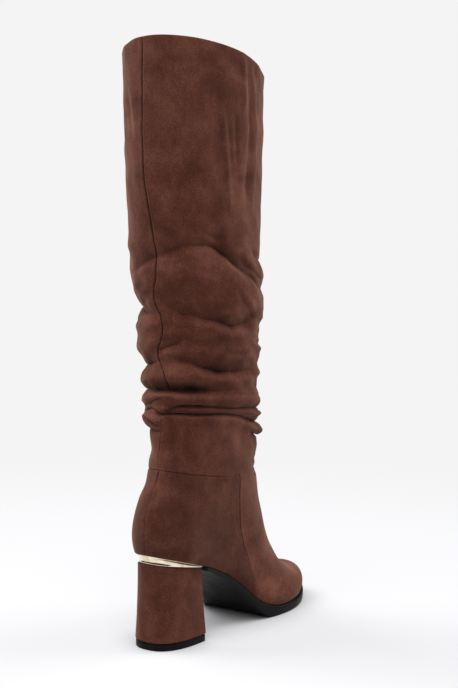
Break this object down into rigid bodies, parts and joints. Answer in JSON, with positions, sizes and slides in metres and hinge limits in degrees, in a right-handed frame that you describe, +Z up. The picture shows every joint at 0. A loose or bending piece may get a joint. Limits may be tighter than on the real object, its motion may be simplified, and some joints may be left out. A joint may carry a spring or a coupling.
{
  "type": "knee-high boot",
  "caption": "Right knee-high slouch boot in brown suede, with a gathered leg, an almond toe, a covered block heel and a thin metal wedge under the heel seat.",
  "frame": {"origin": "on the floor, at the centre of the top lift's bottom face", "axes": "+Z up the leg, +Y to the toe, +X to the outer side of the foot"},
  "size_m": [0.107, 0.233, 0.5055],
  "materials": {
    "brown_suede": "napped suede",
    "sock_lining": "smooth lining leather",
    "black_rubber": "satin",
    "pale_gold": "polished"
  },
  "bodies": {
    "root": {"upper": "brown_suede", "shaft": "brown_suede", "insole": "sock_lining", "outsole": "black_rubber", "heel_plate": "pale_gold", "heel_block": "brown_suede", "top_lift": "black_rubber"}
  },
  "joints": []
}
